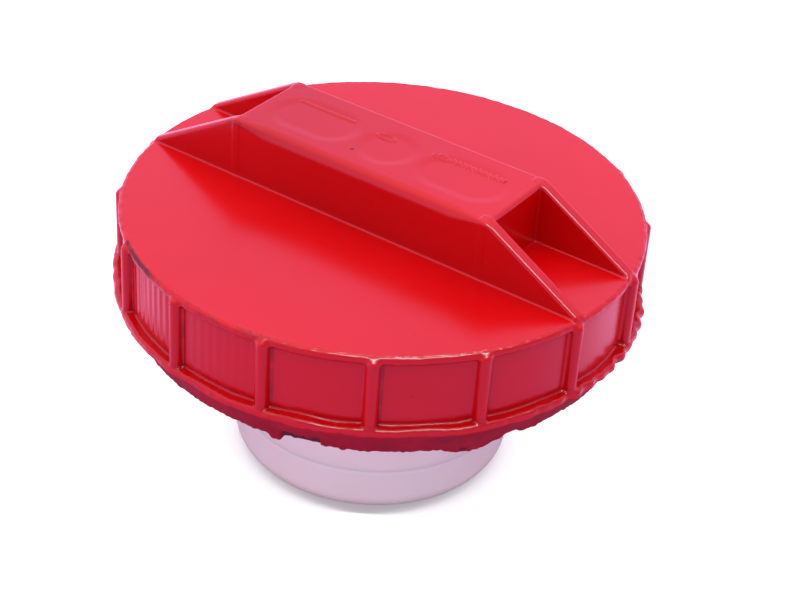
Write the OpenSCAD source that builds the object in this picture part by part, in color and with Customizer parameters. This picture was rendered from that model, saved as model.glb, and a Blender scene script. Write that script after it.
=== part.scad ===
// Vented, ratcheting screw cap for a fuel tank's filler neck.
// Origin: centre of the plug's foot. +Z up, +X along the grip bar.
// The knob (shell, retainer ring, pawl ring, wave washer) turns on the closure.
// Two spring-loaded valves and a roll-over ball sit inside the plug.

/* [Knob] */
// Diameter of the knob's top disc
cap_d = 79.8; // [79:0.2:82]
// Thickness of the top disc
disc_t = 2.4; // [2.2:0.1:2.6]
// Height from the top disc's face down to the bead's lower edge
skirt_h = 13.2; // [13:0.1:13.6]
// Number of ribs round the skirt
rib_count = 16; // [12:2:20]
// Radius of each rib's round face
rib_r = 1; // [0.8:0.1:1.2]
// Depth of the panels between the ribs
panel_depth = 0.6; // [0.4:0.1:1]

/* [Grip bar] */
// Length of the bar's flat top
bar_l = 46.2; // [44:0.2:50]
// Width of the bar
bar_w = 16.4; // [15.6:0.2:16.8]
// Height of the bar above the disc
bar_h = 9.7; // [8.5:0.1:11]
// Thickness of the four end webs
web_t = 2.1; // [1.8:0.1:2.4]

/* [Retainer ring] */
// Height of the ring's visible band
band_h = 4.5; // [4:0.1:5]
// Radius at the band's lower edge
band_low_r = 37.9; // [37.6:0.1:38.2]
// Direction of the pry notch round the axis, in degrees
notch_angle = 288.5; // [280:0.5:300]
// Width of the pry notch
notch_w = 7; // [5:0.5:8]

/* [Plug] */
// Height from the plug's foot to the top disc's face
plug_h = 42.6; // [42:0.1:43.4]
// Outer diameter of the plug's plain wall
plug_d = 43.8; // [43.6:0.1:44]
// Outer diameter over the thread
thread_d = 46.4; // [46:0.1:47]
// Pitch of the thread
thread_pitch = 5; // [4.6:0.1:5.4]
// Number of turns in the thread
thread_turns = 1.6; // [1.2:0.1:1.7]
// Height of the plain spigot's upper end, under the thread
spigot_top_h = 14.6; // [12:0.1:14.8]
// Radius of the plug's lower edge
foot_r = 3.5; // [2.5:0.1:3.6]

/* [Ratchet] */
// Number of ratchet teeth round the closure
tooth_count = 24; // [24:12:24]
// Depth of the ratchet teeth
tooth_h = 1.6; // [1.2:0.1:1.8]
// Number of spring pawls
pawl_count = 3; // [2:1:3]

/* [Valves] */
// Lift of the pressure valve
pressure_lift = 1.5; // [1:0.1:1.6]
// Drop of the vacuum valve
vacuum_drop = 1.2; // [0.8:0.1:1.4]
// Diameter of the roll-over ball
ball_d = 6; // [5.8:0.1:6.1]
// Free travel of the roll-over ball
ball_travel = 2; // [1.5:0.1:2.2]

/* [Hidden] */
$fn = 96;
eps = 0.01;

// Colours
red = [0.80, 0.04, 0.08];
dark_red = [0.66, 0.06, 0.14];
white = [0.90, 0.86, 0.88];
acetal = [0.88, 0.87, 0.82];
black = [0.08, 0.08, 0.09];
steel = [0.72, 0.73, 0.75];

// Fits
press_gap = 0.05;
run_gap = 0.05;
free_gap = 0.3;

// Knob radii
cap_r = cap_d / 2;
edge_r = 0.7;
lip_h = 1.5;
panel_r = cap_r - panel_depth;
rib_ring_r = cap_r - 0.2;
bead_r = cap_r + 1.1;
bead_h = 1.4;
skirt_in_r = cap_r - 3.3;
core_wall = 2.3;
core_rib_t = 2.2;
boss_r = 9.5;
pilot_r = 4;
lug_count = 6;
lug_w = 2.4;
lug_l = 2.9;

// Heights above the plug's foot
disc_z = plug_h;
ceiling_z = disc_z - disc_t;
skirt_z = disc_z - skirt_h;
band_z = skirt_z - band_h;
flange_t = 2.6;
flange_z = disc_z - 11.2;
flange_top_z = flange_z + flange_t;
hub_top_z = ceiling_z - 2;
pilot_z = flange_z - 0.4;
hub_z = pilot_z - 1.6;
gasket_z = flange_z - 2.5;
seat_z = flange_z - 13.4;
seat_t = 3;
seat_lip_h = 1;
cover_z = 8;
thread_z = flange_z - 14.6;

// Closure radii
plug_r = plug_d / 2;
plug_in_r = plug_r - 2.3;
thread_root_r = plug_r - 0.3;
flange_r = 33;
hub_r = 10.4;
spring_boss_r = 7.2;
ratchet_r = 27.6;
ratchet_z = ceiling_z - 1;
post_r = 3;
post_ring_r = 15.8;
post_count = 3;
screw_r = 1.1;
screw_head_r = 2.2;
vent_r = 1.3;
gasket_r = 29;

// Retainer ring
sleeve_r = skirt_in_r - press_gap;
sleeve_in_r = flange_r + 1.2;
lip_in_r = gasket_r + 1.2;
lip_top_z = flange_z - free_gap;
retainer_lip_t = 1.6;
band_in_r = band_low_r - 2.3;
snap_r = 0.5;
snap_z = skirt_z + 1.3;

// Pawl ring
pawl_ring_r = skirt_in_r - 0.6;
pawl_ring_in_r = 31;
pawl_top_z = ceiling_z - press_gap;
pawl_z = flange_top_z + free_gap;
arm_r = ratchet_r + 0.9;
arm_t = 1.1;
arm_sweep = 42;

// Valves
orifice_r = 7.2;
seat_lip_r = 8.8;
valve_plate_r = 10.6;
valve_plate_t = 1.4;
valve_seal_t = 1.2;
valve_seal_z = seat_z + seat_lip_h;
valve_plate_z = valve_seal_z + valve_seal_t;
valve_top_z = valve_plate_z + valve_plate_t;
stem_r = 1.2;
stem_gap = 0.06;
head_r = 5.6;
head_t = 1;
clip_z = valve_top_z + 4.2;
clip_t = 0.5;
stem_top_z = clip_z + clip_t + 0.7;
bleed_count = 4;
bleed_r = 0.8;
bleed_ring_r = 3.4;
pressure_coil_r = 8.6;
pressure_wire_d = 0.9;
pressure_coils = 4.5;
vacuum_coil_r = 2.2;
vacuum_wire_d = 0.45;
vacuum_coils = 5.5;

// Roll-over cage and bottom cover
cage_flange_r = 18.2;
cage_flange_t = 1.2;
cage_flange_z = seat_z - seat_t - cage_flange_t;
rollover_hole_r = 2.2;
ball_r = ball_d / 2;
ball_seat_z = cage_flange_z - sqrt(pow(ball_r, 2) - pow(rollover_hole_r, 2));
ball_z = ball_seat_z - ball_travel - 0.1;
cage_hole_r = 1.4;
cage_floor_z = ball_z - sqrt(pow(ball_r, 2) - pow(cage_hole_r, 2)) - 0.02;
cage_floor_t = 1;
cage_in_r = ball_r + 0.35;
cage_r = cage_in_r + 1.4;
cover_in_r = plug_r - 2.1;
cover_floor_t = 1.7;
spigot_r = plug_in_r - 0.1;
spigot_in_r = spigot_r - 1.6;
spigot_h = 3.2;
cover_snap_z = cover_z + 1.6;
filter_r = 17.2;
filter_t = 2.2;
filter_ring_in_r = 14.6;
filter_ring_t = 1.4;

// Points of an arc about c, from angle a0 to a1, in a given number of steps
function arc(c, r, a0, a1, steps = 6) =
    [for (i = [0 : steps]) let (a = a0 + (a1 - a0) * i / steps) c + r * [cos(a), sin(a)]];

// Point at radius r and angle a
function polar(r, a) = r * [cos(a), sin(a)];

// Quads that join rings of n points, each a section of a swept body
function sweep_faces(rings, n) = concat(
    [[for (j = [n - 1 : -1 : 0]) j]],
    [for (i = [0 : rings - 2], j = [0 : n - 1])
        [i * n + (j + 1) % n, (i + 1) * n + (j + 1) % n, (i + 1) * n + j, i * n + j]],
    [[for (j = [0 : n - 1]) (rings - 1) * n + j]]
);

// Copies of the children round the axis
module around(count, start = 0) {
    for (i = [0 : count - 1])
        rotate([0, 0, start + 360 * i / count]) children();
}

module tube(r_out, r_in, z_low, z_high) {
    translate([0, 0, z_low]) difference() {
        cylinder(h = z_high - z_low, r = r_out);
        translate([0, 0, -1]) cylinder(h = z_high - z_low + 2, r = r_in);
    }
}

// Round torus at height z
module o_ring(ring_r, wire_r, z) {
    translate([0, 0, z]) rotate_extrude() translate([ring_r, 0]) circle(r = wire_r, $fn = 32);
}

// Coil spring whose closed ends lie flat at z_low and z_high
module coil_spring(coil_r, wire_d, coils, z_low, z_high) {
    sides = 8;
    per_turn = 24;
    rings = ceil(coils * per_turn) + 1;
    wire_r = wire_d / 2;
    run = z_high - z_low - wire_d;
    closed = 0.9;
    points = [for (i = [0 : rings - 1], j = [0 : sides - 1])
        let (
            turn = i / per_turn,
            active = min(max((turn - closed) / (coils - 2 * closed), 0), 1),
            ground = 2 * wire_r * min(turn, closed, coils - turn) / closed,
            rise = turn < coils / 2 ? ground : -ground,
            end_lift = turn < coils / 2 ? 0 : 4 * wire_r,
            z = z_low + wire_r + (run - 4 * wire_r) * active + rise + end_lift,
            r = coil_r + wire_r * cos(360 * j / sides)
        )
        [r * cos(360 * turn), r * sin(360 * turn), z + wire_r * sin(360 * j / sides)]];
    polyhedron(points = points, faces = sweep_faces(rings, sides), convexity = 10);
}

// Screw thread ridge: a trapezoid swept up a helix, its ends fading into the wall
module thread_ridge(root_r, crest_r, pitch, turns, z_low) {
    per_turn = 48;
    rings = ceil(turns * per_turn) + 1;
    fade = 8;
    sink = 0.4;
    points = [for (i = [0 : rings - 1])
        let (
            a = 360 * i / per_turn,
            grow = min(i, rings - 1 - i, fade) / fade,
            crest = root_r - 0.1 + (crest_r - root_r + 0.1) * grow,
            z = z_low + pitch * i / per_turn,
            foot = 1.4,
            top = 0.55
        )
        each [
            [(root_r - sink) * cos(a), (root_r - sink) * sin(a), z - foot],
            [crest * cos(a), crest * sin(a), z - top],
            [crest * cos(a), crest * sin(a), z + top],
            [(root_r - sink) * cos(a), (root_r - sink) * sin(a), z + foot]
        ]];
    polyhedron(points = points, faces = sweep_faces(rings, 4), convexity = 8);
}

// --- Knob -------------------------------------------------------------

// Half section of the disc, skirt and bead
module shell_section() {
    polygon(concat(
        [[0, ceiling_z], [skirt_in_r, ceiling_z], [skirt_in_r, skirt_z]],
        arc([bead_r - 0.5, skirt_z + 0.5], 0.5, -90, 0),
        arc([bead_r - 0.5, skirt_z + bead_h - 0.5], 0.5, 0, 90),
        [[panel_r, skirt_z + bead_h], [panel_r, disc_z - lip_h], [cap_r, disc_z - lip_h + 0.3]],
        arc([cap_r - edge_r, disc_z - edge_r], edge_r, 0, 90),
        [[0, disc_z]]
    ));
}

// One skirt rib, a half-round bar from the bead to just under the disc's edge
module skirt_rib() {
    low_z = skirt_z + bead_h - 0.3;
    translate([rib_ring_r, 0, low_z]) cylinder(h = disc_z - 0.9 - low_z, r = rib_r, $fn = 32);
}

// End web of the grip bar: slopes from the bar's top corner to the disc's rim
module bar_web() {
    rim_x = sqrt(pow(cap_r - 0.5, 2) - pow(bar_w / 2, 2));
    rotate([90, 0, 0]) translate([0, 0, -web_t / 2]) linear_extrude(height = web_t)
        polygon([
            [bar_l / 2 - 2, disc_z - 1], [bar_l / 2 - 2, disc_z + bar_h],
            [bar_l / 2, disc_z + bar_h], [rim_x, disc_z + 0.45], [rim_x, disc_z - 1]
        ]);
}

// The bar's solid block, with its long top edges rounded
module bar_block() {
    round_r = 1;
    translate([-bar_l / 2, 0, 0]) rotate([90, 0, 90]) linear_extrude(height = bar_l)
        polygon(concat(
            [[-bar_w / 2, disc_z - 1], [bar_w / 2, disc_z - 1]],
            arc([bar_w / 2 - round_r, disc_z + bar_h - round_r], round_r, 0, 90),
            arc([-bar_w / 2 + round_r, disc_z + bar_h - round_r], round_r, 90, 180)
        ));
}

// Hollow under the bar that keeps the moulding's walls even, split by a long rib
module bar_core() {
    core_l = bar_l / 2 - core_wall - boss_r;
    core_w = (bar_w - 2 * core_wall - core_rib_t) / 2;
    for (side_x = [-1, 1], side_y = [-1, 1])
        translate([side_x * (boss_r + core_l / 2), side_y * (core_rib_t + core_w) / 2, ceiling_z - 1])
            translate([-core_l / 2, -core_w / 2, 0]) cube([core_l, core_w, disc_t + bar_h - core_wall + 1]);
}

// Shallow plain recesses in the bar's top: two long ones and a round one
module top_recesses() {
    depth = 0.3;
    pad_l = 14;
    pad_w = 8.6;
    translate([0, 0, disc_z + bar_h - depth]) {
        for (side = [-1, 1])
            translate([side * 13.4, 0, 0]) linear_extrude(height = 1) {
                square([pad_l - pad_w, pad_w], center = true);
                for (end = [-1, 1]) translate([end * (pad_l - pad_w) / 2, 0]) circle(d = pad_w);
            }
        cylinder(h = 1, r = 4.4);
    }
}

// Drive lug on the inside of the skirt, which keys the pawl ring
module drive_lug() {
    translate([skirt_in_r - lug_l + 0.2, -lug_w / 2, pawl_z + 0.6])
        cube([lug_l, lug_w, ceiling_z - pawl_z]);
}

module outer_shell() {
    color(red) difference() {
        union() {
            rotate_extrude($fn = 180) shell_section();
            around(rib_count, 180 / rib_count) skirt_rib();
            bar_block();
            for (flip = [0, 180], side = [-1, 1])
                rotate([0, 0, flip]) translate([0, side * (bar_w - web_t) / 2, 0]) bar_web();
            around(lug_count, 30) drive_lug();
            translate([0, 0, pilot_z + 0.4]) cylinder(h = ceiling_z - pilot_z + 1, r = pilot_r);
        }
        bar_core();
        top_recesses();
        o_ring(skirt_in_r, snap_r + press_gap, snap_z);
    }
}

// Half section of the retainer ring: band, sleeve and inward lip
module retainer_section() {
    polygon(concat(
        [[lip_in_r, lip_top_z - retainer_lip_t], [band_in_r, lip_top_z - retainer_lip_t - 0.4], [band_in_r, band_z]],
        arc([band_low_r - 0.6, band_z + 0.6], 0.6, -90, 0),
        [[cap_r - 0.1, skirt_z - 0.35], [cap_r - 0.1, skirt_z], [sleeve_r, skirt_z]],
        [[sleeve_r, pawl_z - press_gap], [sleeve_in_r, pawl_z - press_gap], [sleeve_in_r, lip_top_z],
         [lip_in_r, lip_top_z]]
    ));
}

module retainer_ring() {
    notch_h = 2.1;
    notch_depth = 1.5;
    color(dark_red) difference() {
        union() {
            rotate_extrude($fn = 180) retainer_section();
            o_ring(skirt_in_r - press_gap, snap_r - 0.05, snap_z);
        }
        rotate([0, 0, notch_angle]) translate([band_low_r - notch_depth, -notch_w / 2, band_z - 1])
            cube([6, notch_w, notch_h + 1]);
    }
}

// One spring pawl, seen from above: a curved arm that trails behind its root, and a tip that
// drops into a tooth gap. Turned clockwise it climbs the teeth, turned back it bites.
module pawl() {
    tip_r = ratchet_r - tooth_h + 0.75;
    root_r = pawl_ring_in_r + 0.3;
    arm_h = pawl_top_z - pawl_z - 1.4;
    translate([0, 0, pawl_z + 0.4]) linear_extrude(height = arm_h) polygon(concat(
        [polar(tip_r, -3.2), polar(tip_r, -2.2)],
        arc([0, 0], arm_r + arm_t, -2.2, -arm_sweep + 5, 16),
        [polar(root_r, -arm_sweep + 4), polar(root_r, -arm_sweep - 1)],
        arc([0, 0], arm_r, -arm_sweep - 1, -6, 16)
    ));
}

module pawl_ring() {
    slot_gap = 0.15;
    color(acetal) {
        difference() {
            tube(pawl_ring_r, pawl_ring_in_r, pawl_z, pawl_top_z);
            around(lug_count, 30)
                translate([skirt_in_r - lug_l - 0.1, -lug_w / 2 - slot_gap, pawl_z + 0.4])
                    cube([10, lug_w + 2 * slot_gap, 10]);
        }
        around(pawl_count) pawl();
    }
}

// Thin steel ring bent into three waves
module wave_washer() {
    steps = 72;
    waves = 3;
    thick = 0.4;
    r_in = 5.2;
    r_out = 9;
    swing = (ceiling_z - hub_top_z - thick - 0.1) / 2;
    z_mid = (ceiling_z + hub_top_z) / 2;
    points = [for (i = [0 : steps - 1])
        let (a = 360 * i / steps, z = z_mid + swing * cos(waves * a))
        each [
            [r_in * cos(a), r_in * sin(a), z - thick / 2],
            [r_out * cos(a), r_out * sin(a), z - thick / 2],
            [r_out * cos(a), r_out * sin(a), z + thick / 2],
            [r_in * cos(a), r_in * sin(a), z + thick / 2]
        ]];
    faces = [for (i = [0 : steps - 1], j = [0 : 3])
        let (k = (i + 1) % steps, l = (j + 1) % 4)
        [i * 4 + l, k * 4 + l, k * 4 + j, i * 4 + j]];
    color(steel) polyhedron(points = points, faces = faces, convexity = 6);
}

// --- Closure ----------------------------------------------------------

// Saw-tooth ring that the pawls click over: each tooth rises clockwise and ends in a steep face
module ratchet_teeth() {
    pitch = 360 / tooth_count;
    root_r = ratchet_r - tooth_h;
    sunk = 0.5;
    translate([0, 0, flange_top_z - sunk]) linear_extrude(height = ratchet_z - flange_top_z + sunk)
        difference() {
            polygon([for (i = [0 : tooth_count - 1])
                each [
                    polar(root_r, -pitch * i),
                    polar(root_r + tooth_h / 2, -pitch * (i + 0.5)),
                    polar(ratchet_r, -pitch * (i + 0.97))
                ]]);
            circle(r = root_r - 2.2);
        }
}

module threaded_closure() {
    color(white) difference() {
        union() {
            tube(plug_r, plug_in_r, cover_z, spigot_top_h);
            tube(thread_root_r, plug_in_r, spigot_top_h - 1, flange_z + eps);
            translate([0, 0, flange_z]) cylinder(h = flange_t, r = flange_r);
            ratchet_teeth();
            translate([0, 0, flange_top_z - 0.5]) cylinder(h = hub_top_z - flange_top_z + 0.5, r = hub_r);
            translate([0, 0, hub_z]) cylinder(h = flange_z - hub_z + 1, r = spring_boss_r);
            around(post_count, 30) translate([post_ring_r, 0, seat_z])
                cylinder(h = flange_z - seat_z + 1, r = post_r, $fn = 48);
            thread_ridge(thread_root_r, thread_d / 2, thread_pitch, thread_turns, thread_z);
        }
        translate([0, 0, pilot_z]) cylinder(h = plug_h, r = pilot_r + run_gap);
        around(post_count, 90) translate([post_ring_r - 1.8, 0, hub_z]) cylinder(h = plug_h, r = vent_r, $fn = 32);
        around(post_count, 30) translate([post_ring_r, 0, seat_z - 1])
            cylinder(h = 10, r = screw_r + press_gap, $fn = 32);
        o_ring(plug_in_r, 0.55, cover_snap_z);
    }
}

module neck_gasket() {
    color(black) translate([0, 0, gasket_z]) rotate_extrude($fn = 128) polygon(concat(
        [[thread_root_r + 0.1, 0], [thread_root_r + 0.1, flange_z - gasket_z], [gasket_r, flange_z - gasket_z]],
        arc([gasket_r - 0.6, 0.6], 0.6, 0, -90, 4)
    ));
}

// White cup that closes the plug, with a snap spigot and a ring of vent holes in its floor
module bottom_cover() {
    inner_r = 2;
    color(white) difference() {
        rotate_extrude($fn = 128) polygon(concat(
            [[0, cover_floor_t], [0, 0]],
            arc([plug_r - foot_r, foot_r], foot_r, -90, 0, 8),
            [[plug_r, cover_z - 0.15], [plug_r - 0.25, cover_z], [spigot_r, cover_z]],
            arc([spigot_r, cover_snap_z], 0.4, -90, 90, 6),
            [[spigot_r, cover_z + spigot_h], [spigot_in_r, cover_z + spigot_h], [spigot_in_r, cover_z],
             [cover_in_r, cover_z - 1]],
            arc([cover_in_r - inner_r, cover_floor_t + inner_r], inner_r, 0, -90, 5)
        ));
        around(8, 22.5) translate([9, 0, -1]) cylinder(h = 10, r = 1.5, $fn = 32);
    }
}

module valve_seat_plate() {
    groove_r = 17.85;
    color(acetal) translate([0, 0, seat_z - seat_t]) difference() {
        union() {
            cylinder(h = seat_t, r = plug_in_r - 0.2);
            cylinder(h = seat_t + seat_lip_h, r = seat_lip_r);
        }
        translate([0, 0, -1]) cylinder(h = 10, r = orifice_r);
        tube(plug_in_r + 1, groove_r, 0.6, seat_t - 0.6);
        around(post_count, 30) translate([post_ring_r, 0, -1]) cylinder(h = 10, r = screw_r + 0.2, $fn = 32);
    }
}

module seat_o_ring() {
    color(black) o_ring(plug_in_r - 0.9, 0.84, seat_z - seat_t / 2);
}

// Three pan-head screws with cross-shaped drive recesses
module seat_screws() {
    head_h = 1.5;
    shaft_l = seat_t + cage_flange_t + 8;
    color(steel) around(post_count, 30) translate([post_ring_r, 0, cage_flange_z]) difference() {
        union() {
            translate([0, 0, -head_h]) cylinder(h = head_h, r = screw_head_r, $fn = 32);
            translate([0, 0, -eps]) cylinder(h = shaft_l, r = screw_r, $fn = 32);
        }
        for (turn = [0, 90]) rotate([0, 0, turn]) translate([-1.3, -0.25, -head_h - 1]) cube([2.6, 0.5, 1.8]);
    }
}

// Flanged cage under the seat plate that guides the roll-over ball
module ball_cage() {
    window_w = 2.4;
    window_h = 4;
    floor_low_z = cage_floor_z - cage_floor_t;
    color(acetal) difference() {
        union() {
            translate([0, 0, cage_flange_z]) cylinder(h = cage_flange_t, r = cage_flange_r);
            translate([0, 0, floor_low_z]) cylinder(h = cage_flange_z - floor_low_z + eps, r = cage_r);
        }
        translate([0, 0, cage_floor_z]) cylinder(h = cage_flange_z - cage_floor_z, r = cage_in_r);
        translate([0, 0, floor_low_z - 1]) cylinder(h = plug_h, r = cage_hole_r);
        translate([0, 0, cage_flange_z - 0.1]) cylinder(h = 5, r = rollover_hole_r);
        for (turn = [0, 90]) rotate([0, 0, turn])
            translate([-cage_r - 1, -window_w / 2, cage_floor_z + 0.8]) cube([2 * cage_r + 2, window_w, window_h]);
        around(post_count, 30) translate([post_ring_r, 0, cage_flange_z - 1])
            cylinder(h = 5, r = screw_r + 0.2, $fn = 32);
    }
}

module vent_filter() {
    color([0.75, 0.70, 0.55]) translate([0, 0, cover_floor_t]) cylinder(h = filter_t, r = filter_r);
}

module filter_ring() {
    color(acetal)
        tube(cover_in_r - press_gap, filter_ring_in_r, cover_floor_t + filter_t, cover_floor_t + filter_t + filter_ring_t);
}

// --- Pressure valve ---------------------------------------------------

module pressure_valve_plate() {
    rim_h = 1.2;
    color(steel) translate([0, 0, valve_plate_z]) difference() {
        union() {
            cylinder(h = valve_plate_t, r = valve_plate_r);
            tube(valve_plate_r, valve_plate_r - 0.8, 0, valve_plate_t + rim_h);
        }
        translate([0, 0, -1]) cylinder(h = 10, r = stem_r + stem_gap, $fn = 32);
        around(bleed_count, 45) translate([bleed_ring_r, 0, -1]) cylinder(h = 10, r = bleed_r, $fn = 24);
    }
}

module pressure_valve_seal() {
    color(black) tube(valve_plate_r, head_r + 0.8, valve_seal_z, valve_plate_z);
}

module pressure_spring() {
    color(steel) coil_spring(pressure_coil_r, pressure_wire_d, pressure_coils, valve_top_z, flange_z);
}

// --- Vacuum valve -----------------------------------------------------

module vacuum_valve_stem() {
    head_z = valve_plate_z - 0.8 - head_t;
    groove_r = 0.85;
    color(acetal) difference() {
        union() {
            translate([0, 0, head_z]) cylinder(h = head_t, r = head_r);
            translate([0, 0, head_z]) cylinder(h = stem_top_z - head_z, r = stem_r, $fn = 32);
        }
        tube(stem_r + 1, groove_r, clip_z, clip_z + clip_t + 0.1);
    }
}

module vacuum_valve_seal() {
    color(black) tube(head_r - 0.3, stem_r + 0.1, valve_plate_z - 0.8, valve_plate_z);
}

// Snap-on clip in the stem's groove, open on one side
module vacuum_stem_clip() {
    color(steel) difference() {
        tube(3, 0.9, clip_z, clip_z + clip_t);
        translate([0, -0.75, clip_z - 1]) cube([5, 1.5, 3]);
    }
}

module vacuum_spring() {
    color(steel) coil_spring(vacuum_coil_r, vacuum_wire_d, vacuum_coils, valve_top_z, clip_z);
}

// --- Roll-over ball ---------------------------------------------------

module rollover_ball() {
    color(steel) translate([0, 0, ball_z]) sphere(r = ball_r, $fn = 48);
}

outer_shell();
retainer_ring();
pawl_ring();
wave_washer();
threaded_closure();
neck_gasket();
bottom_cover();
valve_seat_plate();
seat_o_ring();
seat_screws();
ball_cage();
vent_filter();
filter_ring();
pressure_valve_plate();
pressure_valve_seal();
pressure_spring();
vacuum_valve_stem();
vacuum_valve_seal();
vacuum_stem_clip();
vacuum_spring();
rollover_ball();
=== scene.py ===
"""Looks of a ratcheting, vented filler cap for a fuel tank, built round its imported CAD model.

Sizes in this script are millimetres in the row frame (origin at the centre of the plug's foot,
+Z up, +X along the grip bar). Meshes are scaled to metres when they are made.
"""

import math

import bpy
import numpy as np
from mathutils import Matrix, Vector


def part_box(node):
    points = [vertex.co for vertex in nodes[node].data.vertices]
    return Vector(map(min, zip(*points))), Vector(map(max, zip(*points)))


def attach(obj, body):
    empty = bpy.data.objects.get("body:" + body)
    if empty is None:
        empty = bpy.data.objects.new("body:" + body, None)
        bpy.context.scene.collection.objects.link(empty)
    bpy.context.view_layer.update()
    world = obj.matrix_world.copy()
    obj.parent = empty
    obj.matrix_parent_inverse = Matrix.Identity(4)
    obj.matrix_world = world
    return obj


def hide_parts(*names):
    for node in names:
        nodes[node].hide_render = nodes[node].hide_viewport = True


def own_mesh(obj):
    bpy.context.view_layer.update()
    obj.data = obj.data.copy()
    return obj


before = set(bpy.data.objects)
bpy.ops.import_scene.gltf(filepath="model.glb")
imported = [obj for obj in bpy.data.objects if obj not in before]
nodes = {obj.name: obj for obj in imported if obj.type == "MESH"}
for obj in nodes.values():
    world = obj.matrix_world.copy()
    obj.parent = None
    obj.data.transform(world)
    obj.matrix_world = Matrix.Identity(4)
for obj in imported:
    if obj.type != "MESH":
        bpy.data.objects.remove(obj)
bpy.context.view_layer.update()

MM = 0.001
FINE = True


def span(node):
    """Lowest and highest corner of a CAD node, in mm."""
    low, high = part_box(node)
    return np.array(low) / MM, np.array(high) / MM


# --- Sizes, worked out from the CAD nodes ------------------------------------

shell_low, shell_high = span("outer_shell")
ring_low, ring_high = span("retainer_ring")
closure_low, closure_high = span("threaded_closure")
cover_low, cover_high = span("bottom_cover")
gasket_low, gasket_high = span("neck_gasket")

bar_z = shell_high[2]
disc_z = bar_z - 9.7
ceiling_z = disc_z - 2.4
skirt_z = disc_z - 13.2
bead_r = shell_high[0]
cap_r = bead_r - 1.1
panel_r = cap_r - 0.6
skirt_in_r = cap_r - 3.3
bead_top_z = skirt_z + 1.4
rib_count = 16
stripes_low, stripes_high = 237.8, 257.5
faint_low, faint_high = 260.0, 279.0
bar_half_l = 23.1
bar_half_w = 8.2
web_t = 2.1
band_z = ring_low[2]
notch_low, notch_high = 284.6, 293.6

flange_r = closure_high[0]
flange_z = disc_z - 11.2
flange_top_z = flange_z + 2.6
ratchet_z = closure_high[2]
plug_r = cover_high[0]
plug_in_r = plug_r - 2.3
thread_root_r = plug_r - 0.3
thread_crest_r = 23.2
thread_z = flange_z - 14.6
spigot_z = 14.6
seam_z = closure_low[2]
post_ring_r = 15.8


# --- Distance fields ---------------------------------------------------------
# A field is a function of x, y and z in mm. It is negative inside the piece.


def round_union(a, b, radius):
    """Both bodies, with a fillet where they meet."""
    corner = np.hypot(np.maximum(radius - a, 0), np.maximum(radius - b, 0))
    return np.maximum(radius, np.minimum(a, b)) - corner


def round_common(a, b, radius):
    """What is inside both bodies, with a rounded edge."""
    corner = np.hypot(np.maximum(radius + a, 0), np.maximum(radius + b, 0))
    return np.minimum(-radius, np.maximum(a, b)) + corner


def round_cut(a, b, radius):
    """Body a without body b, with a rounded edge."""
    return round_common(a, -b, radius)


def between(value, low, high):
    """Negative where low < value < high."""
    return np.maximum(low - value, value - high)


def ring_band(r, z, r_low, r_high, z_low, z_high, radius):
    """A ring of rectangular section, with rounded edges."""
    return round_common(between(r, r_low, r_high), between(z, z_low, z_high), radius)


def fold(angle, count, start=0.0):
    """Angle in degrees from the nearest of count evenly spaced directions, in radians."""
    pitch = 360 / count
    return np.radians((angle - start + pitch / 2) % pitch - pitch / 2)


def pegs(r, angle, count, start, ring_r, peg_r):
    """Evenly spaced round pegs or holes that stand parallel to the axis."""
    turn = fold(angle, count, start)
    return np.hypot(r * np.cos(turn) - ring_r, r * np.sin(turn)) - peg_r


def smooth_step(value, low, high):
    """0 at low and 1 at high, with level ends."""
    t = np.clip((value - low) / (high - low), 0, 1)
    return t * t * (3 - 2 * t)


def ripple(angle, waves, seed):
    """Seeded uneven wave round the axis, about -1 to 1, from the given numbers of waves a turn."""
    draw = np.random.default_rng(seed)
    total = 0
    for count in waves:
        total = total + draw.uniform(0.5, 1) * np.cos(np.radians(count * angle + draw.uniform(0, 360)))
    return total / math.sqrt(len(waves))


def lumps(x, y, z, size, seed):
    """Smooth lattice noise from -1 to 1 with lumps of the given size."""
    cell, part = [], []
    for value in (x, y, z):
        floor = np.floor(value / size)
        share = value / size - floor
        cell.append(floor.astype(np.int64))
        part.append(share * share * (3 - 2 * share))
    total = 0
    for corner in range(8):
        step = [corner >> axis & 1 for axis in range(3)]
        mixed = (cell[0] + step[0]) * 374761393 + (cell[1] + step[1]) * 668265263
        mixed = mixed + (cell[2] + step[2]) * 2147483647 + seed * 1274126177
        mixed = (mixed ^ (mixed >> 13)) * 1274126177
        level = ((mixed ^ (mixed >> 16)) & 0xFFFF) / 32767.5 - 1
        for axis in range(3):
            level = level * (part[axis] if step[axis] else 1 - part[axis])
        total = total + level
    return total


def grip_bar(x, y, z, r):
    """The bar and its end webs, above the disc. The edge on -Y is the softer one."""
    side_x, side_y = np.abs(x), np.abs(y)
    top = z - bar_z + recess_depth(x, y) - mark_height(x, y)
    softness = smooth_step(y, 2, -2) * smooth_step(side_x, 22.5, 16)
    edge_r = 0.6 + 1.0 * softness
    block = round_common(side_x - bar_half_l, side_y - bar_half_w, 0.5)
    block = round_common(block, top, edge_r)
    rise, run = bar_z - disc_z - 0.4, 39.0 - bar_half_l
    slope = ((side_x - bar_half_l) * rise + (z - bar_z) * run) / math.hypot(rise, run)
    wall = between(side_y, bar_half_w - web_t, bar_half_w)
    web = round_common(wall, slope, 0.55)
    web = round_common(web, r - cap_r + 0.25, 0.3)
    web = round_common(web, np.maximum(bar_half_l - 1.5 - side_x, z - bar_z + 0.05), 0.4)
    return np.maximum(round_union(block, web, 0.3), disc_z - 1 - z)


def recess_depth(x, y):
    """Depth of the soft recesses in the bar's top: two long ones and a round one."""
    along = np.abs(np.abs(x) - 13.4)
    long_recess = np.hypot(np.maximum(along - 2.7, 0), y) - 4.3
    return 0.14 * smooth_step(np.minimum(long_recess, np.hypot(x, y) - 4.3), 1.0, -1.0)


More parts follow.
